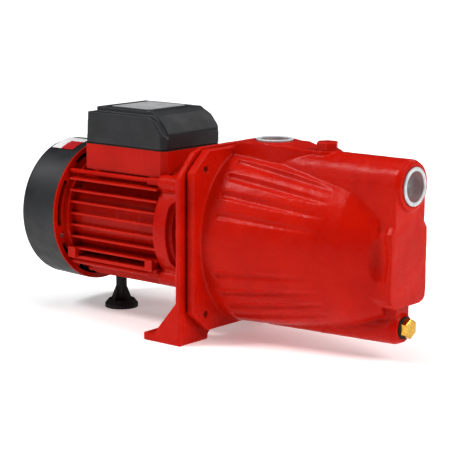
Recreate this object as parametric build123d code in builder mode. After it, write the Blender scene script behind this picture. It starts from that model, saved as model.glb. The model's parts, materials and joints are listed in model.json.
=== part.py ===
"""Self-priming shallow well jet pump, close-coupled to an enclosed fan-cooled motor.

Millimetres. +X runs along the shaft from the motor to the suction port, +Z is up.
The origin is midway between the two foot bolt holes, on the plane the feet stand on.
"""
import math
import os

from build123d import *

# ---------------------------------------------------------------- driving dimensions
AXIS_Z = 100.0            # shaft height
PORT_Z = 163.8            # height of the suction port
PORT_R = 15.15            # minor radius of a G1 female thread
PORT_LENGTH = 20.0        # threaded length of both ports
DISCHARGE_X = 80.0
DISCHARGE_TOP = 192.0
PRIMING_X = 141.0
PRIMING_TOP = 188.6
PRIMING_R = 7.5           # G3/8
DRAIN_Z = 33.5
DRAIN_FACE = 229.7
DRAIN_R = 5.75            # G1/4
FRONT_X = 233.2           # machined-looking front pad of the body
SUCTION_FACE = 236.5

FLANGE_BACK = 38.5        # pump body flange, rear face
FLANGE_FRONT = 47.0
BRACKET_BACK = 31.0       # bracket plate, rear face
BRACKET_FRONT = 36.4
COLLAR_BACK = -20.0       # where the bracket collar meets the motor frame
FRAME_BACK = -137.0
RING_FRONT = -144.8       # front face of the slotted air ring
COVER_BACK = -193.8       # rear of the fan cover
RING_R = 72.5

FOOT_HOLE_Y = 73.0
FOOT_HOLE_R = 4.5
FOOT_OUT_Y = 88.0
FOOT_IN_Y = 46.0
FOOT_BACK = -9.4
FOOT_THICK = 7.5

ROD_Y = 47.5              # tie rods
ROD_Z = 46.5              # above and below the shaft
ROD_R = 2.5
BOLT_Y = 62.0             # body bolts
BOLT_Z = 69.3             # above and below the middle of the flange
FLANGE_MID = 98.25

CORE_R = 52.0             # motor frame barrel
FIN_TIP_R = 66.0          # the bottom fins end on this circle
BORE_R = 49.0
SPIGOT_R = 45.0           # inside of the spigots that enter the frame
STACK_BACK = -116.0       # stator and rotor stack
STACK_FRONT = -48.0
REAR_BEARING = -161.0     # rear faces of the two bearings
FRONT_BEARING = -14.0

BOX_BACK = -125.7         # terminal box
BOX_FRONT = -21.0
BOX_HALF_Y = 44.0
BOX_BOTTOM = 150.0
BOX_TOP = 175.6
COVER_BASE = 176.6
COVER_TOP = 213.0
SUPPORT_X = -119.9        # rear support foot
GLAND_X = -95.0           # cable gland, on the far side of the box
GLAND_Z = 164.0
BOX_SHELF = 155.5         # inner floor of the box
EARTH_X, EARTH_Y = -42.0, -22.0
WIRE_HOLE_X = -74.0

BELL_Z = 98.0
BELL_WALL = 6.0
SHOULDER = (185, 45, 69)  # where the bell turns into the steeper nose
BELL = [(FLANGE_FRONT - 2, 70.5, 85.2), (120, 57.5, 79.5), SHOULDER]   # x, half width, half height
NOSE = [SHOULDER, (217, 30.5, 58)]
FLUTE_ANGLES = [-61, -47, -34, -20, 20, 34, 48, 62]   # degrees above the horizontal, on the oval
FLUTE_R = 5.0
FLUTE_DEPTH = 1.9
FLUTE_CLOSING = 0.86      # the flutes draw together forwards

PUMP_AXIS = Axis((0, 0, AXIS_Z), (1, 0, 0))
SIDES = (-1, 1)


# ---------------------------------------------------------------- helpers
def save(piece, name):
    """Label one finished piece and write it to its own STEP file."""
    piece.part.label = name
    export_step(piece.part, f"parts/{name}.step")


def save_turned(name, profile):
    """Write a piece turned about the shaft line: profile is (x, radius) points."""
    with BuildPart() as piece:
        with BuildSketch(Plane.XZ):
            with BuildLine():
                Polyline(*[(x, AXIS_Z + radius) for x, radius in profile], close=True)
            make_face()
        revolve(axis=PUMP_AXIS)
    save(piece, name)


def rod_x(y, z, radius, start, end, mode=Mode.ADD):
    """A round bar along X."""
    with BuildSketch(Plane.YZ.offset(start)) as section:
        with Locations((y, z)):
            Circle(radius)
    extrude(section.sketch, amount=end - start, mode=mode)


def block(x, y, z, mode=Mode.ADD):
    """A block given by its (low, high) limits on each axis."""
    with BuildSketch(Plane.XY.offset(z[0])) as section:
        with Locations(((x[0] + x[1]) / 2, (y[0] + y[1]) / 2)):
            Rectangle(x[1] - x[0], y[1] - y[0])
    extrude(section.sketch, amount=z[1] - z[0], mode=mode)


def post(x, y, radius, bottom, top, mode=Mode.ADD):
    """An upright round bar."""
    with BuildSketch(Plane.XY.offset(bottom)) as section:
        with Locations((x, y)):
            Circle(radius)
    extrude(section.sketch, amount=top - bottom, mode=mode)


def plate_yz(points, start, end, mode=Mode.ADD):
    """A plate square to X with a polygon outline in (y, z)."""
    with BuildSketch(Plane.YZ.offset(start)) as outline:
        with BuildLine():
            Polyline(*points, close=True)
        make_face()
    extrude(outline.sketch, amount=end - start, mode=mode)


def rib_xz(points, low_y, high_y, mode=Mode.ADD):
    """A rib square to Y with a polygon outline in (x, z)."""
    with BuildSketch(Plane.XZ.offset(-high_y)) as outline:
        with BuildLine():
            Polyline(*points, close=True)
        make_face()
    extrude(outline.sketch, amount=high_y - low_y, mode=mode)


def oval_loft(sections, inset=0.0, ruled=False, mode=Mode.ADD):
    """Loft through ovals centred on the bell's middle line."""
    ovals = []
    for x, half_y, half_z in sections:
        with BuildSketch(Plane.YZ.offset(x)) as oval:
            with Locations((0, BELL_Z)):
                Ellipse(half_y - inset, half_z - inset)
        ovals.append(oval.sketch)
    loft(ovals, ruled=ruled, mode=mode)


def mirrored(points):
    """Close a right-hand half outline in (y, z) with its mirror image."""
    return points + [(-y, z) for y, z in reversed(points)]


def bell_size(x):
    """Half width and half height of the bell at x, straight between its sections."""
    for (x0, y0, z0), (x1, y1, z1) in zip(BELL, BELL[1:]):
        if x <= x1:
            break
    t = (x - x0) / (x1 - x0)
    return y0 + (y1 - y0) * t, z0 + (z1 - z0) * t


def bell_point(x, angle, side, proud):
    """A point on the bell, moved outwards by proud; angle is the oval's own parameter."""
    half_y, half_z = bell_size(x)
    across = math.cos(math.radians(angle))
    up = math.sin(math.radians(angle))
    normal = Vector(0, across / half_y, up / half_z).normalized()
    y = half_y * across + normal.Y * proud
    z = half_z * up + normal.Z * proud
    return Vector(x, side * y, BELL_Z + z)


FLANGE_OUTLINE = mirrored([(57.5, 12.0), (80, 31.5), (80, 166), (57.5, 185.5)])
GASKET_OUTLINE = mirrored([(55.5, 14.5), (77.5, 33), (77.5, 164.5), (55.5, 183)])
BOLT_SPOTS = [(side * BOLT_Y, FLANGE_MID + up * BOLT_Z) for side in SIDES for up in SIDES]
ROD_SPOTS = [(side * ROD_Y, AXIS_Z + up * ROD_Z) for side in SIDES for up in SIDES]
EAR_SPOTS = [(side * 24, AXIS_Z + up * 54.5) for side in SIDES for up in SIDES]
SCREW_RING = 65.0
SCREW_ANGLES = [math.radians(angle) for angle in (-17, 90, 197)]
SCREW_SPOTS = [(SCREW_RING * math.cos(turn), AXIS_Z + SCREW_RING * math.sin(turn)) for turn in SCREW_ANGLES]
COVER_SCREWS = [(-111.5, -32), (-111.5, 32), (-50, -32), (-50, 32)]


# ---------------------------------------------------------------- pump body
def cut_flutes(first, last):
    """Shallow flutes along the bell: blunt at the flange end, fading out forwards."""
    for side in SIDES:
        for angle in FLUTE_ANGLES:
            start = bell_point(first, angle, side, FLUTE_R - FLUTE_DEPTH)
            end = bell_point(last, angle * FLUTE_CLOSING, side, FLUTE_R)
            path = end - start
            with BuildSketch(Plane(origin=start, z_dir=path)) as section:
                Circle(FLUTE_R)
            extrude(section.sketch, amount=path.length, mode=Mode.SUBTRACT)


def make_pump_body():
    pad_low, pad_high, pad_y, neck_y = 54.0, 123.0, 29.0, 24.2
    neck_cavity_r, neck_cavity_end = 18.2, 168.0
    duct_x, duct_r, duct_wall = 190.0, 12.5, 4.0
    housing_r, housing_bore, housing_back = 21.0, 16.1, 160.0
    flute_start, flute_end = 60.0, 168.0
    table_y, table_root, table_top = 23.5, 165.0, 191.0
    pocket_x, pocket_y, pocket_r, pocket_tip_r = 221.8, 36.4, 11.2, 6.0
    pocket_low, pocket_high = 68.0, 130.0
    pad_back, backing_y, backing_back, web_back = 226.0, 27.6, 200.0, 150.0
    boss_r, boss_back = 22.6, 229.0
    priming_boss_r = 13.5
    keel = [(78, 24.5, 12), (222, 31.6, 14.8), (DRAIN_FACE, 32.6, 12.6)]

    with BuildPart() as table:
        # the flat top that carries both bosses: full width at the discharge, drawn in to the priming boss
        half_plan = [(44, table_y), (90, table_y), (101, 22.4), (111, 19.8), (120, 16.8), (130, 13.6),
                     (PRIMING_X, 11)]
        side_view = [(44, table_root), (44, 183.5), (52, 189), (60, table_top), (106, table_top), (122, 188.4),
                     (PRIMING_X, 188), (PRIMING_X, table_root)]
        with BuildSketch(Plane.XY.offset(table_root)):
            with BuildLine():
                Polyline(*half_plan, *[(x, -y) for x, y in reversed(half_plan)], close=True)
            make_face()
        extrude(amount=table_top - table_root + 1)
        rib_xz(side_view, -table_y, table_y, Mode.INTERSECT)

    with BuildPart() as pocket:
        # a lens-shaped hollow between the cone and the front pad
        with BuildSketch(Plane.XZ.offset(pocket_y)):
            with BuildLine():
                Polyline((pocket_x + pocket_tip_r, pocket_low), (pocket_x, pocket_low), (pocket_x, pocket_high),
                         (pocket_x + pocket_tip_r, pocket_high))
                ThreePointArc((pocket_x + pocket_tip_r, pocket_high),
                              (pocket_x + pocket_r, (pocket_low + pocket_high) / 2),
                              (pocket_x + pocket_tip_r, pocket_low))
            make_face()
        revolve(axis=Axis((pocket_x, -pocket_y, 0), (0, 0, 1)))
        mirror(about=Plane.XZ)

    with BuildPart() as pump_body:
        plate_yz(FLANGE_OUTLINE, FLANGE_BACK, FLANGE_FRONT)
        chamfer(pump_body.faces().sort_by(Axis.X)[-1].edges(), 1.0)
        oval_loft(BELL)
        oval_loft(NOSE, ruled=True)
        # suction neck along the top
        rod_x(0, PORT_Z, neck_y, FLANGE_FRONT - 1, FRONT_X)
        add(table.part)
        post(DISCHARGE_X, 0, table_y, 160, DISCHARGE_TOP)
        post(PRIMING_X, 0, priming_boss_r, 170, PRIMING_TOP)
        # front pad and the block behind it
        pad = mirrored([(20, pad_low), (25, pad_low + 1.5), (28, pad_low + 5), (pad_y, pad_low + 10),
                        (pad_y, pad_high), (neck_y, 130), (neck_y, PORT_Z)])
        plate_yz(pad, pad_back, FRONT_X)
        backing = mirrored([(20, pad_low), (backing_y, pad_low + 9), (backing_y, 118), (neck_y, 126),
                            (neck_y, PORT_Z)])
        plate_yz(backing, backing_back, pad_back)
        # flat-sided web under the neck
        block((web_back, backing_back), (-neck_y, neck_y), (120, PORT_Z))
        rod_x(0, PORT_Z, boss_r, boss_back, SUCTION_FACE)
        # drain tube, a slightly rising round keel
        for x, z, radius in keel:
            with BuildSketch(Plane.YZ.offset(x)):
                with Locations((0, z)):
                    Circle(radius)
        loft(ruled=True)
        block((206, DRAIN_FACE - 2), (-11, 11), (36, 60))
        add(pocket.part, mode=Mode.SUBTRACT)
        cut_flutes(flute_start, flute_end)

        # water space
        inner_bell = [(FLANGE_BACK - 1, 70.0, 85.0), *BELL[1:]]
        inner_nose = [SHOULDER, (212, 32.8, 59.7)]
        oval_loft(inner_bell, inset=BELL_WALL, mode=Mode.SUBTRACT)
        oval_loft(inner_nose, inset=BELL_WALL, ruled=True, mode=Mode.SUBTRACT)
        rod_x(0, PORT_Z, neck_cavity_r, 52, neck_cavity_end, Mode.SUBTRACT)
        for x, z in [(92, 26), (215, DRAIN_Z - 0.6)]:
            with BuildSketch(Plane.YZ.offset(x)):
                with Locations((0, z)):
                    Circle(7.0)
        loft(ruled=True, mode=Mode.SUBTRACT)

        # cast-in passages: port collar, suction duct and ejector housing
        post(DISCHARGE_X, 0, PORT_R + 4.0, DISCHARGE_TOP - PORT_LENGTH, DISCHARGE_TOP - 5)
        post(PRIMING_X, 0, PRIMING_R + 3.5, PRIMING_TOP - 14, PRIMING_TOP - 2)
        post(duct_x, 0, duct_r + duct_wall, AXIS_Z, PORT_Z)
        rod_x(0, AXIS_Z, housing_r, housing_back, 230)
        post(DISCHARGE_X, 0, PORT_R, 160, DISCHARGE_TOP + 1, Mode.SUBTRACT)
        post(PRIMING_X, 0, PRIMING_R, 165, PRIMING_TOP + 1, Mode.SUBTRACT)
        rod_x(0, PORT_Z, PORT_R, SUCTION_FACE - PORT_LENGTH, SUCTION_FACE + 1, Mode.SUBTRACT)
        rod_x(0, PORT_Z, PORT_R + 0.6, 177, SUCTION_FACE - PORT_LENGTH, Mode.SUBTRACT)
        post(duct_x, 0, duct_r, AXIS_Z, PORT_Z, Mode.SUBTRACT)
        rod_x(0, AXIS_Z, housing_bore, housing_back - 1, 223, Mode.SUBTRACT)
        rod_x(0, DRAIN_Z, DRAIN_R, 212, DRAIN_FACE + 1, Mode.SUBTRACT)
        # pressure water reaches the back of the nozzle through the housing's sides
        with BuildSketch(Plane.XY.offset(AXIS_Z - 26)):
            with Locations((216, 0)):
                Circle(4.5)
        extrude(amount=12, mode=Mode.SUBTRACT)
        for y, z in BOLT_SPOTS:
            rod_x(y, z, 3.4, FLANGE_BACK - 1, FLANGE_FRONT + 1, Mode.SUBTRACT)
    save(pump_body, "pump_body")


def save_hex_plug(name, base, hex_flats, head, shank_r, shank, plane_axis):
    """A hexagon-headed plug: base is the middle of the washer face, the head points outwards."""
    plane = Plane(origin=base, z_dir=plane_axis)
    with BuildPart() as plug:
        with BuildSketch(plane):
            RegularPolygon(hex_flats / 2, 6, major_radius=False)
        extrude(amount=head)
        chamfer(plug.faces().sort_by(Axis(base, plane_axis))[-1].edges(), 0.8)
        with BuildSketch(plane):
            Circle(shank_r)
        extrude(amount=-shank)
    save(plug, name)


def save_washer(name, base, outer_r, inner_r, thick, plane_axis):
    with BuildPart() as washer:
        with BuildSketch(Plane(origin=base, z_dir=plane_axis)):
            Circle(outer_r)
            Circle(inner_r, mode=Mode.SUBTRACT)
        extrude(amount=thick)
    save(washer, name)


def make_plugs():
    seal = 1.2
    save_washer("priming_plug_seal", (PRIMING_X, 0, PRIMING_TOP), 10.6, PRIMING_R, seal, (0, 0, 1))
    save_hex_plug("priming_plug", (PRIMING_X, 0, PRIMING_TOP + seal), 18.5, 6.2, PRIMING_R - 0.05, 12.0,
                  (0, 0, 1))
    save_washer("drain_plug_washer", (DRAIN_FACE, 0, DRAIN_Z), 10.4, DRAIN_R, 1.6, (1, 0, 0))
    save_hex_plug("drain_plug", (DRAIN_FACE + 1.6, 0, DRAIN_Z), 16.5, 6.0, DRAIN_R - 0.05, 11.0, (1, 0, 0))


# ---------------------------------------------------------------- bracket, gasket, bolts
def make_bracket():
    wall_r, wall_in = 63.0, 57.0
    lug_r, lug_half = 8.0, 3.5
    window_x, window_wide, window_high, window_corner = 13.0, 33.0, 66.0, 9.0
    bearing_r, seal_wall_back = 20.0, 22.0
    gusset_back, gusset_top = 2.8, 41.0
    plate = mirrored([(38, 12), (FOOT_IN_Y, 5), (FOOT_IN_Y, 0), (FOOT_OUT_Y, 0), (FOOT_OUT_Y, 161),
                      (66.6, 183), (52, 187)])
    with BuildPart() as pump_bracket:
        plate_yz(plate, BRACKET_BACK, BRACKET_FRONT)
        rod_x(0, AXIS_Z, wall_r, COLLAR_BACK, BRACKET_BACK)
        rod_x(0, AXIS_Z, wall_in, COLLAR_BACK, BRACKET_BACK, Mode.SUBTRACT)
        for y, z in ROD_SPOTS:
            rod_x(y, z, lug_r, COLLAR_BACK, BRACKET_BACK)
            block((-38, COLLAR_BACK), (y - lug_half, y + lug_half), (z - lug_half, z + lug_half))
        # bearing seat, and the spigot for the frame
        rod_x(0, AXIS_Z, 25, -16, 0)
        with BuildSketch(Plane.YZ.offset(COLLAR_BACK - 4)):
            with Locations((0, AXIS_Z)):
                Circle(BORE_R - 0.1)
                Circle(SPIGOT_R, mode=Mode.SUBTRACT)
        extrude(amount=4)
        with BuildSketch(Plane.YZ.offset(COLLAR_BACK)):
            with Locations((0, AXIS_Z)):
                Circle(wall_r)
                Circle(SPIGOT_R, mode=Mode.SUBTRACT)
        extrude(amount=3)
        # side windows
        with BuildSketch(Plane.XZ.offset(-90)):
            with Locations((window_x, AXIS_Z - 2)):
                RectangleRounded(window_wide, window_high, window_corner)
        extrude(amount=180, mode=Mode.SUBTRACT)
        # bearing wall, and the seal housing behind the pump wall
        rod_x(0, AXIS_Z, wall_in + 0.5, -6, 0)
        rod_x(0, AXIS_Z, 24, seal_wall_back, BRACKET_BACK)
        rod_x(0, AXIS_Z, 12, -17, 1, Mode.SUBTRACT)
        rod_x(0, AXIS_Z, bearing_r, -17, FRONT_BEARING + 12, Mode.SUBTRACT)
        rod_x(0, AXIS_Z, 10, seal_wall_back - 1, BRACKET_FRONT, Mode.SUBTRACT)
        rod_x(0, AXIS_Z, 15, 29.5, BRACKET_FRONT + 1, Mode.SUBTRACT)
        # feet with their gussets
        for side in SIDES:
            low, high = sorted((side * FOOT_IN_Y, side * FOOT_OUT_Y))
            block((FOOT_BACK, BRACKET_BACK), (low, high), (0, FOOT_THICK))
            for inner, outer in ((82, FOOT_OUT_Y), (FOOT_IN_Y, 51)):
                low, high = sorted((side * inner, side * outer))
                rib_xz([(gusset_back, FOOT_THICK), (BRACKET_BACK, FOOT_THICK), (BRACKET_BACK, gusset_top)],
                       low, high)
            post(0, side * FOOT_HOLE_Y, FOOT_HOLE_R, -1, FOOT_THICK + 1, Mode.SUBTRACT)
        # ribs from the wall down and up to the plate
        for side in SIDES:
            for up in SIDES:
                low, high = sorted((side * 22, side * 28))
                tip = AXIS_Z + up * 83
                root = AXIS_Z + up * 55
                rib_xz([(-4, root), (BRACKET_BACK, root), (BRACKET_BACK, tip)], low, high)
        for y, z in ROD_SPOTS:
            rod_x(y, z, ROD_R + 0.05, -39, -4, Mode.SUBTRACT)
        for y, z in BOLT_SPOTS:
            rod_x(y, z, 4.3, BRACKET_BACK - 1, BRACKET_FRONT + 1, Mode.SUBTRACT)
        for y, z in EAR_SPOTS:
            rod_x(y, z, 2.1, 30, BRACKET_FRONT + 1, Mode.SUBTRACT)
    save(pump_bracket, "pump_bracket")


def make_joint_pieces():
    with BuildPart() as body_gasket:
        plate_yz(GASKET_OUTLINE, BRACKET_FRONT, FLANGE_BACK)
        with BuildSketch(Plane.YZ.offset(BRACKET_FRONT)):
            with Locations((0, BELL_Z)):
                Ellipse(64.5, 79.5)
            with Locations(*BOLT_SPOTS):
                Circle(4.3)
        extrude(amount=FLANGE_BACK - BRACKET_FRONT, mode=Mode.SUBTRACT)
    save(body_gasket, "body_gasket")

    with BuildPart() as body_bolts:
        for y, z in BOLT_SPOTS:
            with BuildSketch(Plane.YZ.offset(BRACKET_BACK)):
                with Locations((y, z)):
                    RegularPolygon(6.5, 6, major_radius=False)
            extrude(amount=-5.3)
            rod_x(y, z, 8.2, BRACKET_BACK - 1.6, BRACKET_BACK)
            rod_x(y, z, 3.3, BRACKET_BACK, FLANGE_BACK + 4.5)
    save(body_bolts, "body_bolts")


# ---------------------------------------------------------------- pump internals
def make_seal():
    save_turned("seal_seat", [(30, 9.2), (30, 14.95), (BRACKET_FRONT, 14.95), (BRACKET_FRONT, 9.2)])
    save_turned("seal_head", [(36.5, 8.0), (36.5, 12), (39, 13), (44, 13), (44, 8.0)])
    with BuildPart() as seal_spring:
        with BuildLine() as coil:
            Helix(pitch=2.9, height=7.25, radius=10.6, center=(44.7, 0, AXIS_Z), direction=(1, 0, 0))
        with BuildSketch(Plane(origin=coil.line @ 0, z_dir=coil.line % 0)):
            Circle(0.6)
        sweep()
    save(seal_spring, "seal_spring")


def make_impeller():
    rim, eye, vanes, vane_half = 50.0, 13.0, 6, 1.1
    back, vane_back, vane_front, shroud_front = 53.0, 55.5, 61.5, 63.5
    with BuildPart() as impeller:
        rod_x(0, AXIS_Z, rim, back, vane_back)
        with BuildSketch(Plane.YZ.offset(vane_back)):
            for index in range(vanes):
                with BuildLine():
                    turn = 360 / vanes * index
                    arc = [PolarLine((0, AXIS_Z), radius, turn + lag, mode=Mode.PRIVATE) @ 1
                           for radius, lag in ((15, 0), (32, -22), (49.5, -58))]
                    ThreePointArc(*arc)
                    offset(amount=vane_half, side=Side.BOTH)
                make_face()
        extrude(amount=vane_front - vane_back)
        with BuildSketch(Plane.YZ.offset(vane_front)):
            with Locations((0, AXIS_Z)):
                Circle(rim)
                Circle(eye, mode=Mode.SUBTRACT)
        extrude(amount=shroud_front - vane_front)
        with BuildSketch(Plane.YZ.offset(shroud_front)):
            with Locations((0, AXIS_Z)):
                Circle(eye + 3.4)
                Circle(eye, mode=Mode.SUBTRACT)
        extrude(amount=8.5)
        rod_x(0, AXIS_Z, 10, back, 60)
        rod_x(0, AXIS_Z, 6.0, back - 1, 61, Mode.SUBTRACT)
    save(impeller, "impeller")

    with BuildPart() as impeller_nut:
        with BuildSketch(Plane.YZ.offset(60)):
            with Locations((0, AXIS_Z)):
                RegularPolygon(6.5, 6, major_radius=False)
                Circle(4.0, mode=Mode.SUBTRACT)
        extrude(amount=6)
    save(impeller_nut, "impeller_nut")


def make_diffuser():
    cup_r, cup_in, back, wall_x, wall_front = 55.5, 52.5, 36.5, 70.0, 74.0
    socket_r, socket_in, socket_front = 21.0, 17.1, 84.0
    slot_ring, slots = 43.0, 10
    with BuildPart() as diffuser:
        rod_x(0, AXIS_Z, cup_r, back, wall_front)
        for y, z in EAR_SPOTS:
            rod_x(y, z, 5.5, back, wall_front)
        rod_x(0, AXIS_Z, cup_in, back, wall_x, Mode.SUBTRACT)
        rod_x(0, AXIS_Z, socket_r, wall_front, socket_front)
        rod_x(0, AXIS_Z, 16.8, wall_x, wall_front, Mode.SUBTRACT)
        rod_x(0, AXIS_Z, socket_in, wall_front, socket_front, Mode.SUBTRACT)
        for y, z in EAR_SPOTS:
            rod_x(y, z, 2.3, back, wall_front, Mode.SUBTRACT)
        with BuildSketch(Plane.YZ.offset(wall_x)):
            with Locations((0, AXIS_Z)):
                with PolarLocations(slot_ring, slots):
                    SlotOverall(12, 6, rotation=90)
        extrude(amount=wall_front - wall_x, mode=Mode.SUBTRACT)
    save(diffuser, "diffuser")

    with BuildPart() as diffuser_screws:
        for y, z in EAR_SPOTS:
            rod_x(y, z, 4.0, wall_front, wall_front + 3.5)
            rod_x(y, z, 2.05, 31.5, wall_front)
    save(diffuser_screws, "diffuser_screws")


def make_ejector():
    save_turned("venturi_tube", [
        (74.1, 12.5), (74.1, 17), (84, 17), (88, 15.5), (150, 10.5), (158, 10.5), (160.5, 15.9), (162.4, 15.9),
        (162.4, 13.4), (165.6, 13.4), (165.6, 15.9), (168, 15.9), (170, 12), (182, 12), (182, 9), (170, 6.6),
        (160, 6.6)])
    with BuildPart() as venturi_ring:
        with BuildSketch(Plane.XZ):
            with Locations((164, AXIS_Z + 14.72)):
                Circle(1.3)
        revolve(axis=PUMP_AXIS)
    save(venturi_ring, "venturi_ring")
    save_turned("nozzle", [
        (183.6, 3.4), (183.6, 5.4), (202, 11.5), (203, 16.05), (209, 16.05), (209, 9), (204, 9), (190, 3.4)])


# ---------------------------------------------------------------- shaft line
def make_shaft_line():
    save_turned("shaft", [
        (-185, 0), (-185, 6.4), (-184.4, 7), (-162, 7), (-162, 7.45), (-149, 7.45), (-149, 10), (-16, 10),
        (-16, 8.45), (4, 8.45), (4, 8), (52.8, 8), (52.8, 6), (60, 6), (60, 4), (68, 4), (69, 3), (69, 0)])
    save_turned("rotor_core", [(STACK_BACK, 10), (STACK_BACK, 27.7), (STACK_FRONT, 27.7), (STACK_FRONT, 10)])
    save_turned("water_slinger", [(8, 8), (8, 11), (10, 15), (12, 15), (12, 8)])
    save_turned("preload_washer", [(-149.9, 12.5), (-149.9, 16.8), (-149.1, 16.8), (-149.1, 12.5)])
    save_turned("fan_clip", [(-183.8, 7), (-183.8, 10), (-182.6, 10), (-182.6, 7)])
    for name, back, bore, outer, width in (("rear_bearing", REAR_BEARING, 7.5, 17.45, 11),
                                           ("front_bearing", FRONT_BEARING, 8.5, 19.95, 12)):
        front = back + width
        land, middle = (outer - bore) * 0.28, (outer + bore) / 2
        save_turned(name, [
            (back, bore), (back, bore + land), (back + 1, middle - 1), (back + 1, middle + 1),
            (back, outer - land), (back, outer), (front, outer), (front, outer - land),
            (front - 1, middle + 1), (front - 1, middle - 1), (front, bore + land), (front, bore)])

    hub_r, disc_r, shaft_r = 13.0, 58.0, 7.0
    blade_ring, blades, blade_deep, blade_thick = 34.5, 9, 46.0, 2.0
    blade_back, hub_back, disc_back, fan_front = -184.0, -182.5, -170.0, -168.0
    with BuildPart() as cooling_fan:
        rod_x(0, AXIS_Z, hub_r, hub_back, fan_front)
        rod_x(0, AXIS_Z, disc_r, disc_back, fan_front)
        with BuildSketch(Plane.YZ.offset(blade_back)):
            with Locations((0, AXIS_Z)):
                with PolarLocations(blade_ring, blades):
                    Rectangle(blade_deep, blade_thick)
        extrude(amount=disc_back - blade_back + 0.5)
        rod_x(0, AXIS_Z, hub_r, blade_back, hub_back, Mode.SUBTRACT)
        rod_x(0, AXIS_Z, shaft_r, blade_back - 1, fan_front + 1, Mode.SUBTRACT)
    save(cooling_fan, "cooling_fan")


def make_stator():
    slots, slot_mid, slot_deep, slot_wide = 24, 35.5, 11.0, 4.0
    rotor_gap_r, wire_gap = 28.0, 0.4
    end_turn, end_turn_corner, overhang = 15.0, 5.0, 8.2
    with BuildPart() as stator_core:
        with BuildSketch(Plane.YZ.offset(STACK_BACK)):
            with Locations((0, AXIS_Z)):
                Circle(BORE_R - 0.05)
                Circle(rotor_gap_r, mode=Mode.SUBTRACT)
                with PolarLocations(slot_mid, slots):
                    Rectangle(slot_deep, slot_wide, mode=Mode.SUBTRACT)
        extrude(amount=STACK_FRONT - STACK_BACK)
    save(stator_core, "stator_core")

    with BuildPart() as stator_winding:
        with BuildSketch(Plane.YZ.offset(STACK_BACK - 4)):
            with Locations((0, AXIS_Z)):
                with PolarLocations(slot_mid, slots):
                    Rectangle(slot_deep - wire_gap, slot_wide - wire_gap)
        extrude(amount=STACK_FRONT - STACK_BACK + 8)
        for x in (STACK_BACK - overhang, STACK_FRONT + overhang):
            with BuildSketch(Plane.XZ):
                with Locations((x, AXIS_Z + 37)):
                    RectangleRounded(end_turn, end_turn, end_turn_corner)
            revolve(axis=PUMP_AXIS)
    save(stator_winding, "stator_winding")


# ---------------------------------------------------------------- motor casing
def make_motor_frame():
    fin, pitch, tip_y, middle_fin_z, low_pitch = 2.0, 11.8, 57.0, 104.6, 10.0
    fins_each_way = range(-3, 4)
    lengthwise = (FRAME_BACK, COLLAR_BACK)
    lug_in, lug_out, lug_heights = 47.0, 61.0, (60.0, 70.5)
    seat_x, seat_half_y, seat_top = (-118.0, -30.0), 34.0, 153.0
    post_r, post_low, screw_r = 9.5, 34.0, 2.1
    with BuildPart() as motor_frame:
        rod_x(0, AXIS_Z, CORE_R, *lengthwise)
        for step in fins_each_way:
            z = middle_fin_z + step * pitch
            block(lengthwise, (-tip_y, tip_y), (z - fin / 2, z + fin / 2))
        block(lengthwise, (-tip_y, tip_y), (58.4, 61.6))
        for step in fins_each_way:
            y = step * low_pitch
            tip = AXIS_Z - math.sqrt(FIN_TIP_R**2 - y**2)
            block(lengthwise, (y - fin / 2, y + fin / 2), (tip, AXIS_Z))
        # flat seat for the terminal box
        block(seat_x, (-seat_half_y, seat_half_y), (AXIS_Z, seat_top))
        # cover lugs at the four lower corners
        for side in SIDES:
            low, high = sorted((side * lug_in, side * lug_out))
            block((FRAME_BACK, FRAME_BACK + 10), (low, high), lug_heights)
            block((COLLAR_BACK - 12, COLLAR_BACK - 3), (low, high), lug_heights)
        post(SUPPORT_X, 0, post_r, post_low, AXIS_Z)
        rod_x(0, AXIS_Z, BORE_R, FRAME_BACK - 1, COLLAR_BACK + 1, Mode.SUBTRACT)
        post(WIRE_HOLE_X, 0, 8, AXIS_Z + 40, seat_top + 1, Mode.SUBTRACT)
        post(SUPPORT_X, 0, screw_r, post_low - 0.5, 60, Mode.SUBTRACT)
    save(motor_frame, "motor_frame")


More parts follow.
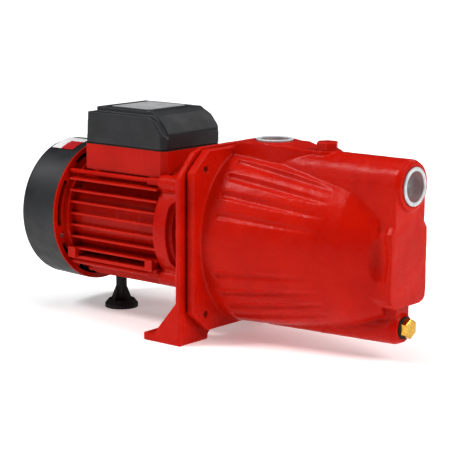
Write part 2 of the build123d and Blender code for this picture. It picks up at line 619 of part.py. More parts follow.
def make_end_shield():
    slot_r, slot_wide = 65.0, 5.2
    lip_r, hub_r, seat_r, seat_front = 70.3, 23.0, 17.5, -149.0
    # arc slots, as angles above the horizontal on each side
    slot_spans = [(-86, -56), (-37, -25), (-8, 34), (54, 82)]
    with BuildPart() as rear_end_shield:
        rod_x(0, AXIS_Z, RING_R, RING_FRONT - 1.6, RING_FRONT)
        rod_x(0, AXIS_Z, lip_r, RING_FRONT - 4, RING_FRONT - 1.6)
        rod_x(0, AXIS_Z, 60.5, RING_FRONT, FRAME_BACK)
        rod_x(0, AXIS_Z, BORE_R - 0.1, FRAME_BACK, FRAME_BACK + 4)
        rod_x(0, AXIS_Z, hub_r, -163, RING_FRONT)
        rod_x(0, AXIS_Z, 44, -142, FRAME_BACK + 5, Mode.SUBTRACT)
        rod_x(0, AXIS_Z, seat_r, -164, seat_front, Mode.SUBTRACT)
        rod_x(0, AXIS_Z, 12, -150, -140, Mode.SUBTRACT)
        with BuildSketch(Plane.YZ.offset(RING_FRONT - 5)):
            for side in SIDES:
                for low, high in slot_spans:
                    start = low if side > 0 else 180 - high
                    with BuildLine():
                        CenterArc((0, AXIS_Z), slot_r - slot_wide / 2, start, high - low)
                        CenterArc((0, AXIS_Z), slot_r + slot_wide / 2, start, high - low)
                        for angle in (start, start + high - low):
                            inner = PolarLine((0, AXIS_Z), slot_r - slot_wide / 2, angle, mode=Mode.PRIVATE) @ 1
                            outer = PolarLine((0, AXIS_Z), slot_r + slot_wide / 2, angle, mode=Mode.PRIVATE) @ 1
                            Line(inner, outer)
                    make_face()
        extrude(amount=6, mode=Mode.SUBTRACT)
        for y, z in ROD_SPOTS:
            rod_x(y, z, ROD_R + 0.7, RING_FRONT - 5, FRAME_BACK + 1, Mode.SUBTRACT)
        for y, z in SCREW_SPOTS:
            rod_x(y, z, 1.7, RING_FRONT - 5, RING_FRONT + 1, Mode.SUBTRACT)
    save(rear_end_shield, "rear_end_shield")

    with BuildPart() as tie_rods:
        for y, z in ROD_SPOTS:
            rod_x(y, z, ROD_R, RING_FRONT - 4, -8)
            rod_x(y, z, 3.6, RING_FRONT - 8, RING_FRONT - 4)
    save(tie_rods, "tie_rods")


def make_fan_cover():
    back_r, mouth_r, wall, corner = 71.4, 72.6, 2.1, 5.0
    mouth = RING_FRONT - 1.7
    inner_r, inner_back = back_r - wall, COVER_BACK + wall
    grille = ((24, 12, 15), (44, 24, 17), (60, 30, 9))    # ring radius, number of slots, slot length
    with BuildPart() as fan_cover:
        with BuildSketch(Plane.XZ):
            with BuildLine():
                Polyline((mouth, AXIS_Z), (mouth, AXIS_Z + mouth_r), (COVER_BACK, AXIS_Z + back_r),
                         (COVER_BACK, AXIS_Z), close=True)
            make_face()
        revolve(axis=PUMP_AXIS)
        fillet(fan_cover.edges().filter_by(GeomType.CIRCLE).sort_by(Axis.X)[0], corner)
        with BuildSketch(Plane.XZ):
            with BuildLine():
                Polyline((mouth + 1, AXIS_Z), (mouth + 1, AXIS_Z + mouth_r - wall),
                         (inner_back + 3, AXIS_Z + inner_r), (inner_back, AXIS_Z + inner_r - 3),
                         (inner_back, AXIS_Z), close=True)
            make_face()
        revolve(axis=PUMP_AXIS, mode=Mode.SUBTRACT)
        # screw bosses inside the mouth
        with BuildPart(mode=Mode.PRIVATE) as bosses:
            for y, z in SCREW_SPOTS:
                rod_x(y, z, 6.2, -164, RING_FRONT - 4.1)
            with BuildSketch(Plane.YZ.offset(-165)):
                with Locations((0, AXIS_Z)):
                    Circle(71.5)
            extrude(amount=20, mode=Mode.INTERSECT)
        add(bosses.part)
        for y, z in SCREW_SPOTS:
            rod_x(y, z, 1.55, -160, RING_FRONT - 4, Mode.SUBTRACT)
        # vent grille in the back
        with BuildSketch(Plane.YZ.offset(COVER_BACK - 1)):
            with Locations((0, AXIS_Z)):
                for radius, count, length in grille:
                    with PolarLocations(radius, count):
                        SlotOverall(length, 4)
        extrude(amount=wall + 2, mode=Mode.SUBTRACT)
    save(fan_cover, "fan_cover")

    with BuildPart() as fan_cover_screws:
        for y, z in SCREW_SPOTS:
            rod_x(y, z, 2.4, RING_FRONT, RING_FRONT + 1.2)
            rod_x(y, z, 1.5, -159, RING_FRONT)
    save(fan_cover_screws, "fan_cover_screws")

    sticker_r, sticker_film, sticker_start, sticker_span, sticker_long = 72.66, 0.3, 95, 22, 30
    with BuildPart() as cover_sticker:
        with BuildSketch(Plane.YZ.offset(-186)):
            with BuildLine():
                CenterArc((0, AXIS_Z), sticker_r, sticker_start, sticker_span)
                CenterArc((0, AXIS_Z), sticker_r + sticker_film, sticker_start, sticker_span)
                for angle in (sticker_start, sticker_start + sticker_span):
                    inner = PolarLine((0, AXIS_Z), sticker_r, angle, mode=Mode.PRIVATE) @ 1
                    outer = PolarLine((0, AXIS_Z), sticker_r + sticker_film, angle, mode=Mode.PRIVATE) @ 1
                    Line(inner, outer)
            make_face()
        extrude(amount=sticker_long)
    save(cover_sticker, "cover_sticker")


# ---------------------------------------------------------------- terminal box
def box_plan(inset, low, high, mode=Mode.ADD):
    """The box outline, seen from above, with its two chamfered front corners."""
    back, front, half, cut = BOX_BACK + inset, BOX_FRONT - inset, BOX_HALF_Y - inset, 5.5
    with BuildSketch(Plane.XY.offset(low)) as outline:
        with BuildLine():
            Polyline((back, -half), (front - cut, -half), (front, cut - half), (front, half - cut),
                     (front - cut, half), (back, half), close=True)
        make_face()
    extrude(outline.sketch, amount=high - low, mode=mode)


def cover_profile(inset):
    """Side outline of the cover: upright back, flat top and a long slope down at the front."""
    top = COVER_TOP - inset
    return [(BOX_BACK + inset, COVER_BASE - 1), (BOX_BACK + 2.3 + inset, top), (-43 - inset / 2, top),
            (-36 - inset / 2, 209 - inset), (-28 - inset, 201.5 - inset / 2),
            (BOX_FRONT - inset, 192 - inset / 2), (BOX_FRONT - inset, COVER_BASE - 1)]


def make_terminal_box():
    wall = 2.4
    with BuildPart() as terminal_box_base:
        box_plan(0, BOX_BOTTOM, BOX_TOP)
        box_plan(wall, BOX_BOTTOM - 1, 153, Mode.SUBTRACT)
        block((BOX_BACK - 1, BOX_FRONT + 1), (-35, 35), (BOX_BOTTOM - 1, 153), Mode.SUBTRACT)
        box_plan(wall, BOX_SHELF, BOX_TOP + 1, Mode.SUBTRACT)
        post(WIRE_HOLE_X, 0, 7.5, 152, 156, Mode.SUBTRACT)
        for x in (-117, -31):
            for y in (-36, 36):
                post(x, y, 4.5, 155, BOX_TOP)
                post(x, y, 1.6, 160, BOX_TOP + 1, Mode.SUBTRACT)
        with BuildSketch(Plane.XZ.offset(-BOX_HALF_Y - 1)):
            with Locations((GLAND_X, GLAND_Z)):
                Circle(8.2)
        extrude(amount=5, mode=Mode.SUBTRACT)
        post(EARTH_X, EARTH_Y, 2.05, 152, 156, Mode.SUBTRACT)
    save(terminal_box_base, "terminal_box_base")

    with BuildPart() as box_gasket:
        box_plan(0.6, BOX_TOP, COVER_BASE)
        box_plan(wall, BOX_TOP - 1, COVER_BASE + 1, Mode.SUBTRACT)
    save(box_gasket, "box_gasket")

    ledge_z, ledge = 208.0, 7.0
    lowered = [(BOX_BACK - 1, ledge_z), (-41, ledge_z), (-34.5, 204.4), (-28.6, 197.4), (-23.5, 190.5),
               (-15, 180), (-15, COVER_TOP + 2), (BOX_BACK - 1, COVER_TOP + 2)]
    with BuildPart() as terminal_box_cover:
        box_plan(0, COVER_BASE, COVER_TOP)
        rib_xz(cover_profile(0), -60, 60, Mode.INTERSECT)
        for side in SIDES:
            low, high = sorted((side * (BOX_HALF_Y - ledge), side * 60))
            rib_xz(lowered, low, high, Mode.SUBTRACT)
        block((BOX_BACK - 1, BOX_BACK + 8), (-60, 60), (ledge_z, COVER_TOP + 1), Mode.SUBTRACT)
        with BuildPart(mode=Mode.PRIVATE) as hollow:
            box_plan(wall + ledge - 1, COVER_BASE - 1, COVER_TOP)
            rib_xz(cover_profile(wall), -60, 60, Mode.INTERSECT)
            box_plan(wall, COVER_BASE - 1, 187)
        add(hollow.part, mode=Mode.SUBTRACT)
        for x, y in COVER_SCREWS:
            post(x, y, 4.5, COVER_BASE, 209)
            post(x, y, 3.4, COVER_TOP - 3, COVER_TOP + 1, Mode.SUBTRACT)
            post(x, y, 1.8, COVER_BASE - 1, COVER_TOP, Mode.SUBTRACT)
    save(terminal_box_cover, "terminal_box_cover")

    with BuildPart() as cover_screws:
        for x, y in COVER_SCREWS:
            post(x, y, 3.2, COVER_TOP - 3, COVER_TOP - 0.6)
            post(x, y, 1.5, 162, COVER_TOP - 3)
    save(cover_screws, "cover_screws")

    with BuildPart() as rating_plate:
        with BuildSketch(Plane.XY.offset(COVER_TOP)):
            with Locations((-80.5, 0)):
                RectangleRounded(50, 56, 2)
        extrude(amount=0.5)
    save(rating_plate, "rating_plate")


def make_box_contents():
    with BuildPart() as capacitor:
        rod_x(12, 176, 12.5, -105, -50)
        chamfer(capacitor.edges().filter_by(GeomType.CIRCLE), 1.2)
        for y in (8, 16):
            block((-50, -43), (y - 3, y + 3), (175.6, 176.4))
    save(capacitor, "capacitor")

    with BuildPart() as terminal_block:
        block((-100, -56), (-32, -14), (BOX_SHELF, 168))
        for x in (-92, -78, -64):
            block((x - 5, x + 5), (-33, -13), (160, 169), Mode.SUBTRACT)
            post(x, -23, 2.6, 158, 166)
    save(terminal_block, "terminal_block")

    gland = Plane(origin=(GLAND_X, BOX_HALF_Y, GLAND_Z), z_dir=(0, 1, 0))
    with BuildPart() as cable_gland:
        with BuildSketch(gland):
            RegularPolygon(11, 6, major_radius=False)
        extrude(amount=6)
        with BuildSketch(gland.offset(6)):
            Circle(9.5)
        extrude(amount=9, taper=8)
        with BuildSketch(gland.offset(-6)):
            Circle(8.1)
        extrude(amount=6)
        with BuildSketch(gland.offset(-7)):
            Circle(4.5)
        extrude(amount=30, mode=Mode.SUBTRACT)
    save(cable_gland, "cable_gland")

    with BuildPart() as earth_screw:
        with BuildSketch(Plane.XY.offset(BOX_SHELF)):
            with Locations((EARTH_X, EARTH_Y)):
                RegularPolygon(4, 6, major_radius=False)
        extrude(amount=3)
        post(EARTH_X, EARTH_Y, 2.0, 153, BOX_SHELF)
    save(earth_screw, "earth_screw")


# ---------------------------------------------------------------- rear support
def make_support():
    base_r, stem_r, top = 17.2, 5.6, 33.9
    web_half, hole_r = 1.4, 2.1
    with BuildPart() as support_foot:
        post(SUPPORT_X, 0, base_r, 0, 3.5)
        with BuildSketch(Plane.XY.offset(3.5)):
            with Locations((SUPPORT_X, 0)):
                Circle(base_r)
        extrude(amount=4.5, taper=38)
        post(SUPPORT_X, 0, stem_r, 7, top)
        # four webs from the stem down to the disc
        half_web = [(12.5, 7), (12.5, 9), (5, 24)]
        web = mirrored(half_web)
        plate_yz(web, SUPPORT_X - web_half, SUPPORT_X + web_half)
        rib_xz([(SUPPORT_X + across, z) for across, z in web], -web_half, web_half)
        post(SUPPORT_X, 0, 4.6, -1, 5, Mode.SUBTRACT)
        post(SUPPORT_X, 0, hole_r, 4, top + 1, Mode.SUBTRACT)
    save(support_foot, "support_foot")

    with BuildPart() as support_screw:
        post(SUPPORT_X, 0, 4.2, 1.6, 5)
        post(SUPPORT_X, 0, 2.0, 5, 47)
    save(support_screw, "support_screw")


os.makedirs("parts", exist_ok=True)
make_pump_body()
make_plugs()
make_bracket()
make_joint_pieces()
make_seal()
make_impeller()
make_diffuser()
make_ejector()
make_shaft_line()
make_stator()
make_motor_frame()
make_end_shield()
make_fan_cover()
make_terminal_box()
make_box_contents()
make_support()
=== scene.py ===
"""Shallow well jet pump: soft cast edges, port threads, transit caps, finishes, floor, lights and camera.

Metres. +X runs along the shaft from the motor to the suction port, +Z is up.
"""
import json
import math

import bmesh
import bpy
from mathutils import Matrix, Vector


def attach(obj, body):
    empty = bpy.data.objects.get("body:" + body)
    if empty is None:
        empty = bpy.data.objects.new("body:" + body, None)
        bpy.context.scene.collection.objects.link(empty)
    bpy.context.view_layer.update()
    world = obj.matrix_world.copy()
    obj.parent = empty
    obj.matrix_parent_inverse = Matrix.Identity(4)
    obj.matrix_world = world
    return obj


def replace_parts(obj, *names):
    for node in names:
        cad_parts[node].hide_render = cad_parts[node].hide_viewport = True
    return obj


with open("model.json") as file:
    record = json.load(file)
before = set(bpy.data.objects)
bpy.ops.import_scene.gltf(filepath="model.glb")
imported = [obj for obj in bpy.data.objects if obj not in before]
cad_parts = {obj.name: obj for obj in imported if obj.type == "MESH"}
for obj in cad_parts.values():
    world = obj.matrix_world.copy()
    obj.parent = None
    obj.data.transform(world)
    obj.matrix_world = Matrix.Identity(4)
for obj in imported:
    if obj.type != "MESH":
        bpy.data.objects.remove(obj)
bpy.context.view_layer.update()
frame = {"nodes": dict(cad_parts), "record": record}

MM = 0.001
SUCTION_FACE = 236.5 * MM
SUCTION_Z = 163.8 * MM
DISCHARGE_X = 80.0 * MM
DISCHARGE_TOP = 192.0 * MM
THREAD_LENGTH = 20.0 * MM
THREAD_MINOR = 15.15 * MM
THREAD_MAJOR = 16.6 * MM
THREAD_PITCH = 2.309 * MM
THREAD_START = 0.6 * MM       # the first crest lies this far inside the port's face
CREST_CLEARANCE = 0.1 * MM
RING_WALL = 0.8 * MM          # how far the thread rings reach into the wall
CUTTER_CLEARANCE = 0.2 * MM
WELD = 2e-6
WAVE_SIZE = 14 * MM
RULES = (("X", 6.2, 0.0), ("Y", 27.0, 13.5))   # the plate's rules, in millimetres: axis, spacing, shift
RULE_WIDTH = 0.45
PATCH_BACK, PATCH_FAR = -173 * MM, -17 * MM    # where the sticker's red patch begins
ENAMEL_EDGE = 1.2                              # millimetres of edge that is lighter: thin enamel and a painted highlight
EDGE_STRENGTH = 0.55


# ---------------------------------------------------------------- small tools
def linear(text):
    """A colour given as sRGB hex, as linear red, green, blue and alpha."""
    channels = [int(text[i:i + 2], 16) / 255 for i in (0, 2, 4)]
    return tuple(c / 12.92 if c <= 0.04045 else ((c + 0.055) / 1.055) ** 2.4 for c in channels) + (1.0,)


def add_node(material, kind, settings=None, links=None):
    """One shader node: settings go to its properties or its sockets, links feed its sockets."""
    node = material.node_tree.nodes.new(kind)
    for name, value in (settings or {}).items():
        if isinstance(name, str) and hasattr(node, name):
            setattr(node, name, value)
        else:
            node.inputs[name].default_value = value
    for name, source in (links or {}).items():
        material.node_tree.links.new(source, node.inputs[name])
    return node


def new_material(name, shader_settings):
    """A material with one principled shader; returns the material, the shader and object coordinates."""
    material = bpy.data.materials.new(name)
    material.use_nodes = True
    material.node_tree.nodes.clear()
    shader = add_node(material, "ShaderNodeBsdfPrincipled", shader_settings)
    add_node(material, "ShaderNodeOutputMaterial", links={"Surface": shader.outputs[0]})
    place = add_node(material, "ShaderNodeTexCoord").outputs["Object"]
    return material, shader, place


def noise(material, place, size, detail=2.0, roughness=0.5):
    """Noise whose blobs are about size millimetres across."""
    return add_node(material, "ShaderNodeTexNoise",
                    {"Scale": 1.0 / (size * MM), "Detail": detail, "Roughness": roughness},
                    {"Vector": place}).outputs["Fac"]


def spread(material, source, low, high, start=0.35, end=0.65):
    """Map the middle of a noise to the range low to high."""
    return add_node(material, "ShaderNodeMapRange",
                    {"From Min": start, "From Max": end, "To Min": low, "To Max": high},
                    {"Value": source}).outputs["Result"]


def blend_colours(material, factor, first, second):
    """Blend two colours, each a tuple or an output, by a factor output."""
    node = add_node(material, "ShaderNodeMix", {"data_type": "RGBA"}, {0: factor})
    for index, colour in ((6, first), (7, second)):
        if isinstance(colour, tuple):
            node.inputs[index].default_value = colour
        else:
            material.node_tree.links.new(colour, node.inputs[index])
    return node.outputs[2]


def math_node(material, operation, first, second):
    """One maths step on an output and a number, or on two outputs."""
    settings, links = {"operation": operation}, {0: first}
    if isinstance(second, float):
        settings[1] = second
    else:
        links[1] = second
    return add_node(material, "ShaderNodeMath", settings, links).outputs[0]


def edge_mask(material, radius, low=0.002, high=0.06):
    """1 along sharp edges, 0 on open surfaces: how far a rounded normal leans away from the true one."""
    rounded = add_node(material, "ShaderNodeBevel", {"samples": 4, "Radius": radius * MM}).outputs[0]
    true = add_node(material, "ShaderNodeNewGeometry").outputs["Normal"]
    cosine = add_node(material, "ShaderNodeVectorMath", {"operation": "DOT_PRODUCT"}, {0: rounded, 1: true})
    return add_node(material, "ShaderNodeMapRange",
                    {"From Min": 1 - low, "From Max": 1 - high, "To Min": 0.0, "To Max": 1.0},
                    {"Value": cosine.outputs["Value"]}).outputs["Result"]


def bump(material, heights, rounding=0.0):
    """Stack bumps, each (height output, depth in millimetres), on an optionally rounded normal."""
    normal = None
    if rounding:
        normal = add_node(material, "ShaderNodeBevel", {"samples": 4, "Radius": rounding * MM}).outputs[0]
    for height, depth in heights:
        links = {"Height": height}
        if normal is not None:
            links["Normal"] = normal
        raised = add_node(material, "ShaderNodeBump", {"Strength": 1.0, "Distance": depth * MM}, links)
        normal = raised.outputs[0]
    return normal


def feed(material, shader, **sources):
    """Link outputs to the shader's sockets, named with _ for spaces."""
    for name, source in sources.items():
        material.node_tree.links.new(source, shader.inputs[name.replace("_", " ")])


# ---------------------------------------------------------------- finishes
def enamel(name, deep, bright, grain, grain_depth, peel_depth, rounding, gloss, rough_low, rough_high):
    """Red stoving enamel. The sand's grain shows through it on a casting, and orange peel on smooth metal."""
    material, shader, place = new_material(name, {
        "IOR": 1.5, "Specular IOR Level": gloss, "Coat Weight": 0.02, "Coat Roughness": 0.15})
    cloud = noise(material, place, 40, 3.0)
    body = blend_colours(material, spread(material, cloud, 0.0, 1.0), linear(deep), linear(bright))
    edges = edge_mask(material, ENAMEL_EDGE, 0.01, 0.09)
    # thin: how much sharp edges take the lighter colour, for thin enamel and a painted highlight
    thin = math_node(material, "MULTIPLY", edges, EDGE_STRENGTH)
    # enamel draws thin over sharp edges and is lighter there; the lighter colour is also a painted highlight
    # along the edges
    colour = blend_colours(material, thin, body, linear("D63A22"))
    sand = noise(material, place, grain, 4.0, 0.62)
    swell = noise(material, place, grain * 6, 1.0)
    peel = noise(material, place, 2.4, 1.0)
    roughness = spread(material, noise(material, place, 9, 3.0), rough_low, rough_high)
    normal = bump(material, [(swell, grain_depth * 2.0), (sand, grain_depth), (peel, peel_depth)], rounding)
    feed(material, shader, Base_Color=colour, Roughness=roughness, Normal=normal)
    return material


def moulded_plastic(name, dark, light, grain, depth, rough_low, rough_high, rounding=0.5):
    """Injection-moulded ABS or nylon: satin, with a fine spark-eroded grain and faint handling marks."""
    material, shader, place = new_material(name, {"IOR": 1.5})
    cloud = noise(material, place, 35, 3.0)
    colour = blend_colours(material, spread(material, cloud, 0.0, 1.0), linear(dark), linear(light))
    # sharp edges blend to the lighter colour: a painted highlight along the edges
    colour = blend_colours(material, edge_mask(material, 0.7), colour, linear(light))
    fine = noise(material, place, grain, 3.0, 0.6)
    roughness = spread(material, noise(material, place, 12, 4.0), rough_low, rough_high)
    feed(material, shader, Base_Color=colour, Roughness=roughness,
         Normal=bump(material, [(fine, depth)], rounding))
    return material


def machined_metal(name, dark, light, rough_low, rough_high, line=0.5, stretch=(1, 1, 1), depth=0.01,
                   rounding=0.25):
    """Bare or plated metal: fine tool lines and slightly uneven colour."""
    material, shader, place = new_material(name, {"Metallic": 1.0})
    along = add_node(material, "ShaderNodeMapping", {"Scale": stretch}, {"Vector": place}).outputs[0]
    lines = noise(material, along, line, 2.0)
    cloud = noise(material, place, 8, 3.0)
    colour = blend_colours(material, spread(material, cloud, 0.0, 1.0), linear(dark), linear(light))
    roughness = spread(material, cloud, rough_low, rough_high)
    feed(material, shader, Base_Color=colour, Roughness=roughness,
         Normal=bump(material, [(lines, depth)], rounding))
    return material


def rubber(name, dark, light):
    """Moulded nitrile rubber: dead matt black with a dusty bloom."""
    material, shader, place = new_material(name, {"IOR": 1.5})
    bloom = noise(material, place, 10, 4.0)
    colour = blend_colours(material, spread(material, bloom, 0.0, 1.0), linear(dark), linear(light))
    feed(material, shader, Base_Color=colour, Roughness=spread(material, bloom, 0.55, 0.8),
         Normal=bump(material, [(noise(material, place, 0.9, 3.0), 0.03)], 0.4))
    return material


def blank_plate(name):
    """Printed polyester film left blank: pale grey with thin printed rules."""
    material, shader, place = new_material(name, {"IOR": 1.5, "Coat Weight": 0.3, "Coat Roughness": 0.2})
    parts = add_node(material, "ShaderNodeSeparateXYZ", links={"Vector": place})
    masks = []
    for axis, step, shift in RULES:
        moved = math_node(material, "ADD", parts.outputs[axis], shift * MM)
        wrapped = math_node(material, "PINGPONG", moved, step / 2 * MM)
        masks.append(math_node(material, "LESS_THAN", wrapped, RULE_WIDTH / 2 * MM))
    rules = math_node(material, "MAXIMUM", *masks)
    cloud = spread(material, noise(material, place, 18, 3.0), 0.0, 1.0)
    paper = blend_colours(material, cloud, linear("B9BABC"), linear("C6C7C8"))
    feed(material, shader, Base_Color=blend_colours(material, rules, paper, linear("6E6F72")),
         Roughness=spread(material, noise(material, place, 6, 3.0), 0.3, 0.42),
         Normal=bump(material, [(noise(material, place, 1.5, 2.0), 0.01)]))
    return material


def blank_sticker(name):
    """Vinyl sticker left blank: white, with a red patch in its near front corner."""
    material, shader, place = new_material(name, {"IOR": 1.5, "Coat Weight": 0.4, "Coat Roughness": 0.1})
    parts = add_node(material, "ShaderNodeSeparateXYZ", links={"Vector": place})
    forward = math_node(material, "GREATER_THAN", parts.outputs["X"], PATCH_BACK)
    near = math_node(material, "LESS_THAN", parts.outputs["Y"], PATCH_FAR)
    red = math_node(material, "MULTIPLY", forward, near)
    white = blend_colours(material, spread(material, noise(material, place, 12, 2.0), 0, 1),
                          linear("E4E4E4"), linear("F2F2F2"))
    feed(material, shader, Base_Color=blend_colours(material, red, white, linear("C2242A")),
         Roughness=spread(material, noise(material, place, 7, 2.0), 0.25, 0.38))
    return material


def cap_plastic(name, cover):
    """Low-density polyethylene, thin and milky; cover is how much of what lies behind it hides."""
    material, shader, place = new_material(name, {"IOR": 1.51, "Alpha": cover})
    cloud = spread(material, noise(material, place, 6, 3.0), 0.0, 1.0)
    feed(material, shader, Base_Color=blend_colours(material, cloud, linear("C3C9CC"), linear("DCE1E2")),
         Roughness=spread(material, noise(material, place, 3, 2.0), 0.25, 0.42),
         Normal=bump(material, [(noise(material, place, 1.2, 2.0), 0.02)]))
    return material


# sprayed enamel: first on the iron castings and the priming plug, then on the smoother motor parts and box base
cast_enamel = enamel("red_enamel_on_cast_iron", "B41505", "C01C07", 2.8, 0.30, 0.012, 0.0, 0.10, 0.22, 0.32)
smooth_enamel = enamel("red_enamel_on_aluminium", "B41505", "C01C07", 2.6, 0.012, 0.012, 0.45, 0.12, 0.18, 0.28)
# moulded covers, cable gland and fan, then the rubber parts
black_abs = moulded_plastic("charcoal_abs", "191A1D", "242528", 0.9, 0.02, 0.42, 0.55)
foot_rubber = rubber("moulded_foot_rubber", "101011", "1E1E20")
seal_rubber = rubber("nitrile_seal_rubber", "131314", "202022")
# drain plug and impeller, fasteners, shaft parts, bearings, and the motor's stacks and winding
brass = machined_metal("turned_brass", "C79A3C", "E0BC62", 0.22, 0.36)
zinc_steel = machined_metal("zinc_plated_steel", "A9ABA8", "C9CAC4", 0.28, 0.42)
stainless = machined_metal("ground_stainless_steel", "B4B4B2", "CBCBC9", 0.2, 0.3, 0.4, (0.15, 1, 1))
bearing_steel = machined_metal("polished_bearing_steel", "BDBDBC", "D2D2D0", 0.12, 0.22)
lamination = machined_metal("electrical_sheet_stack", "55565A", "6E6F73", 0.45, 0.6, 0.5, (1, 0.05, 0.05), 0.05)
winding = machined_metal("varnished_copper_wire", "8E3F18", "B4602A", 0.3, 0.45, 0.8, (1, 0.3, 0.3), 0.12)
# seal faces, diffuser and ejector, and the parts inside the terminal box
carbon = moulded_plastic("lapped_carbon", "1B1B1C", "2A2A2B", 0.5, 0.006, 0.3, 0.42, 0.2)
ceramic = moulded_plastic("lapped_ceramic", "DAD7CC", "E8E6DE", 0.5, 0.004, 0.15, 0.25, 0.2)
pump_plastic = moulded_plastic("glass_filled_plastic", "38393B", "4A4B4D", 1.0, 0.03, 0.45, 0.6)
housing_plastic = moulded_plastic("white_housing_plastic", "D8D8D3", "E6E6E2", 1.0, 0.01, 0.25, 0.4)
# printed films left blank, and the two films of the transit caps
plate_film = blank_plate("blank_polyester_plate")
sticker_film = blank_sticker("blank_vinyl_sticker")
cap_rim_film = cap_plastic("milky_polyethylene_rim", 0.85)
cap_cup_film = cap_plastic("thin_milky_polyethylene_cup", 0.2)

FINISH = {
    "cast_enamel": cast_enamel, "smooth_enamel": smooth_enamel, "black_plastic": black_abs,
    "foot_rubber": foot_rubber, "seal_rubber": seal_rubber, "label": plate_film, "brass": brass,
    "zinc_steel": zinc_steel, "stainless": stainless, "bearing_steel": bearing_steel, "lamination": lamination,
    "winding": winding, "carbon": carbon, "ceramic": ceramic, "pump_plastic": pump_plastic,
    "housing_plastic": housing_plastic,
}
for entry in frame["record"]["subparts"]:
    node = frame["nodes"][entry["node"]]
    finish = FINISH[entry["material_slot"]]
    if entry["node"] == "cover_sticker":
        finish = sticker_film
    node.data.materials.clear()
    node.data.materials.append(finish)


# ---------------------------------------------------------------- pieces
def link(name, mesh, finish):
    """A new object in the scene, at the origin, with one finish."""
    piece = bpy.data.objects.new(name, mesh)
    bpy.context.scene.collection.objects.link(piece)
    mesh.materials.clear()
    mesh.materials.append(finish)
    return piece


def mesh_from(shape, name):
    """The mesh of a finished bmesh shape."""
    mesh = bpy.data.meshes.new(name)
    shape.to_mesh(mesh)
    shape.free()
    return mesh


def apply_modifiers(piece):
    """Bake a piece's modifiers into its mesh."""
    bpy.context.view_layer.update()
    graph = bpy.context.evaluated_depsgraph_get()
    mesh = bpy.data.meshes.new_from_object(piece.evaluated_get(graph))
    mesh.name = piece.name
    piece.modifiers.clear()
    piece.data = mesh


def merged_copy(node):
    """A welded copy of a CAD node's loose triangles."""
    shape = bmesh.new()
    shape.from_mesh(frame["nodes"][node].data)
    bmesh.ops.remove_doubles(shape, verts=shape.verts, dist=WELD)
    return shape


def soft_copy(node, name, finish, voxel, passes, keep, cutters=(), unevenness=0.0):
    """A CAD node again with the rounded edges and corners that casting or moulding gives it."""
    piece = link(name, mesh_from(merged_copy(node), name), finish)
    for cutter in cutters:
        cut = piece.modifiers.new("bore", "BOOLEAN")
        cut.object = cutter
        cut.operation = "DIFFERENCE"
        cut.solver = "EXACT"
    skin = piece.modifiers.new("skin", "REMESH")
    skin.mode = "VOXEL"
    skin.voxel_size = voxel * MM
    soften = piece.modifiers.new("soften", "SMOOTH")
    soften.factor = 0.5
    soften.iterations = passes
    if unevenness:
        # a sand mould is never quite true: slow waves of a few tenths of a millimetre
        waves = bpy.data.textures.new(f"{name}_waves", "CLOUDS")
        waves.noise_scale = WAVE_SIZE
        waves.noise_depth = 1
        sway = piece.modifiers.new("sway", "DISPLACE")
        sway.texture = waves
        sway.texture_coords = "LOCAL"
        sway.strength = unevenness * MM
        sway.mid_level = 0.5
    thin = piece.modifiers.new("thin", "DECIMATE")
    thin.ratio = keep
    apply_modifiers(piece)
    for polygon in piece.data.polygons:
        polygon.use_smooth = True
    return piece


def turned(name, profile, centre, axis, finish, steps=96):
    """A ring or cup spun about a line: profile is a closed loop of (along the axis, radius), in metres."""
    axis = Vector(axis)
    out = Vector((0, 0, 1)) if abs(axis.z) < 0.5 else Vector((1, 0, 0))
    shape = bmesh.new()
    points = [shape.verts.new(Vector(centre) + axis * along + out * radius) for along, radius in profile]
    edges = [shape.edges.new((a, b)) for a, b in zip(points, points[1:] + points[:1])]
    bmesh.ops.spin(shape, geom=points + edges, cent=centre, axis=axis, angle=2 * math.pi, steps=steps,
                   use_merge=True)
    bmesh.ops.remove_doubles(shape, verts=shape.verts, dist=1e-6)
    bmesh.ops.recalc_face_normals(shape, faces=shape.faces)
    piece = link(name, mesh_from(shape, name), finish)
    for polygon in piece.data.polygons:
        polygon.use_smooth = True
    return piece


def bore_cutter(centre, axis):
    """The cylinder that clears a port's wall for its thread."""
    shape = bmesh.new()
    radius = THREAD_MAJOR + CUTTER_CLEARANCE
    bmesh.ops.create_cone(shape, cap_ends=True, segments=96, radius1=radius, radius2=radius,
                          depth=THREAD_LENGTH + 2 * MM)
    turn = Vector((0, 0, 1)).rotation_difference(Vector(axis)).to_matrix()
    bmesh.ops.rotate(shape, verts=shape.verts, cent=(0, 0, 0), matrix=turn)
    middle = Vector(centre) - Vector(axis) * (THREAD_LENGTH / 2 - 1 * MM)
    bmesh.ops.translate(shape, verts=shape.verts, vec=middle)
    return link("cutter", mesh_from(shape, "cutter"), cast_enamel)


def thread_profile():
    """One side of an internal pipe thread, from the face inwards, closed behind in the wall."""
    profile = []
    along = 0.0
    while along < THREAD_LENGTH - THREAD_PITCH:
        profile.append((-along, THREAD_MAJOR))
        profile.append((-along - THREAD_PITCH * 0.42, THREAD_MINOR + CREST_CLEARANCE))
        profile.append((-along - THREAD_PITCH * 0.58, THREAD_MINOR + CREST_CLEARANCE))
        along += THREAD_PITCH
    profile.append((-along, THREAD_MAJOR))
    profile.append((-along, THREAD_MAJOR + RING_WALL))
    profile.append((0.0, THREAD_MAJOR + RING_WALL))
    return profile


def join_into(piece, *others):
    """Put other pieces' meshes into one piece's mesh."""
    shape = bmesh.new()
    shape.from_mesh(piece.data)
    for other in others:
        shape.from_mesh(other.data)
        bpy.data.objects.remove(other)
    shape.to_mesh(piece.data)
    shape.free()


PORTS = (("suction", (SUCTION_FACE, 0, SUCTION_Z), (1, 0, 0)),
         ("discharge", (DISCHARGE_X, 0, DISCHARGE_TOP), (0, 0, 1)))

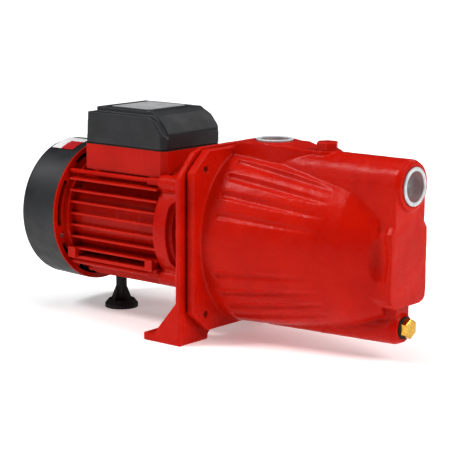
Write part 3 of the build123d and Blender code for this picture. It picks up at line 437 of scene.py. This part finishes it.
cutters = [bore_cutter(centre, axis) for _, centre, axis in PORTS]
body = soft_copy("pump_body", "pump_body_casting", cast_enamel, 1.0, 3, 0.31, cutters, unevenness=0.5)
for cutter in cutters:
    bpy.data.objects.remove(cutter)
threads = []
for port, centre, axis in PORTS:
    start = Vector(centre) - Vector(axis) * THREAD_START
    threads.append(turned(f"{port}_thread", thread_profile(), start, axis, cast_enamel))
join_into(body, *threads)
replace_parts(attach(body, "root"), "pump_body")

bracket = soft_copy("pump_bracket", "pump_bracket_casting", cast_enamel, 0.9, 3, 0.45, unevenness=0.4)
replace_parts(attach(bracket, "root"), "pump_bracket")

lid = soft_copy("terminal_box_cover", "terminal_box_lid", black_abs, 0.9, 3, 0.6)
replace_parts(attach(lid, "root"), "terminal_box_cover")

# the cap's section in millimetres: distance out from the port's face, then radius
CAP = [(1.4, 14.1), (2.0, 14.6), (2.0, 17.4), (1.6, 17.8), (0.6, 17.8), (0.3, 17.4), (0.3, 15.0), (-8.0, 14.7),
       (-8.6, 14.2), (-8.6, 0.0), (-5.4, 0.0), (-5.4, 2.0), (-7.8, 2.4), (-7.8, 13.8)]
for port, centre, axis in PORTS:
    # a push-in cap that keeps dirt out until the pipe goes on
    profile = [(along * MM, max(radius, 0.05) * MM) for along, radius in CAP]
    cap = turned(f"{port}_transit_cap", profile, Vector(centre), axis, cap_rim_film)
    cap.data.materials.append(cap_cup_film)
    for polygon in cap.data.polygons:
        if (polygon.center - Vector(centre)).dot(Vector(axis)) < 0.2 * MM:
            polygon.material_index = 1
    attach(cap, "root")


# ---------------------------------------------------------------- floor, light, camera
floor_material, floor_shader, floor_place = new_material("pale_floor", {
    "Roughness": 0.55, "IOR": 1.45, "Emission Color": linear("FFFFFF"), "Emission Strength": 0.34})
feed(floor_material, floor_shader,
     Base_Color=blend_colours(floor_material, noise(floor_material, floor_place, 400, 2.0),
                              linear("F4F4F4"), linear("F8F8F8")))
shape = bmesh.new()
bmesh.ops.create_grid(shape, x_segments=4, y_segments=4, size=30)
floor = link("floor", mesh_from(shape, "floor"), floor_material)

world = bpy.data.worlds.new("studio")
world.use_nodes = True
world.node_tree.nodes["Background"].inputs["Color"].default_value = linear("FFFFFF")
world.node_tree.nodes["Background"].inputs["Strength"].default_value = 0.07
bpy.context.scene.world = world


def softbox(name, place, target, size, power):
    """A rectangular lamp, in metres and watts, turned towards its target."""
    lamp = bpy.data.lights.new(name, "AREA")
    lamp.shape = "RECTANGLE"
    lamp.size, lamp.size_y = size
    lamp.energy = power
    box = bpy.data.objects.new(name, lamp)
    box.location = place
    box.rotation_euler = (Vector(target) - Vector(place)).to_track_quat("-Z", "Y").to_euler()
    bpy.context.scene.collection.objects.link(box)


softbox("top_softbox", (0.1, 0.1, 1.5), (0.05, 0, 0.1), (1.4, 0.8), 7)
softbox("right_softbox", (1.7, 0.3, 0.7), (0.2, 0, 0.1), (0.5, 1.0), 4)
softbox("left_softbox", (-0.9, -1.5, 0.8), (0, 0, 0.1), (0.6, 1.0), 5)
softbox("back_softbox", (0.25, 1.5, 1.25), (0, 0, 0.15), (1.2, 0.8), 6)


def direction(azimuth, elevation):
    """From the object towards a place at these angles, in radians."""
    return Vector((math.sin(azimuth) * math.cos(elevation), -math.cos(azimuth) * math.cos(elevation),
                   math.sin(elevation)))


def sun(name, azimuth, elevation, strength, softness):
    """A wide soft light from far away, so that the floor is lit evenly; azimuth 0 is the near side."""
    lamp = bpy.data.lights.new(name, "SUN")
    lamp.energy = strength
    lamp.angle = math.radians(softness)
    towards = direction(math.radians(azimuth), math.radians(elevation))
    light = bpy.data.objects.new(name, lamp)
    light.rotation_euler = towards.to_track_quat("Z", "Y").to_euler()
    bpy.context.scene.collection.objects.link(light)


sun("key", -46, 50, 1.98, 18)
sun("fill", 92, 40, 1.6, 30)

AZIMUTH, ELEVATION, ROLL = math.radians(39.5), math.radians(10.3), math.radians(0.2)
FOCAL_LENGTH, SENSOR_WIDTH = 128.592, 36.0     # millimetres
SHIFT = (0.0151, -0.0164)
CAMERA_PLACE = (1.0005, -1.2008, 0.3919)
camera = bpy.data.cameras.new("camera")
camera.sensor_width = SENSOR_WIDTH
camera.lens = FOCAL_LENGTH
camera.shift_x, camera.shift_y = SHIFT
camera.clip_start, camera.clip_end = 0.05, 100
view = bpy.data.objects.new("camera", camera)
back = direction(AZIMUTH, ELEVATION)
right = Vector((math.cos(AZIMUTH), math.sin(AZIMUTH), 0))
up = back.cross(right)
right, up = (right * math.cos(ROLL) + up * math.sin(ROLL), up * math.cos(ROLL) - right * math.sin(ROLL))
view.matrix_world = Matrix((right, up, back)).transposed().to_4x4()
view.location = CAMERA_PLACE
bpy.context.scene.collection.objects.link(view)
bpy.context.scene.camera = view
bpy.context.scene.view_settings.view_transform = "Standard"
bpy.context.scene.view_settings.gamma = 0.85   # darker middle tones, deeper reds
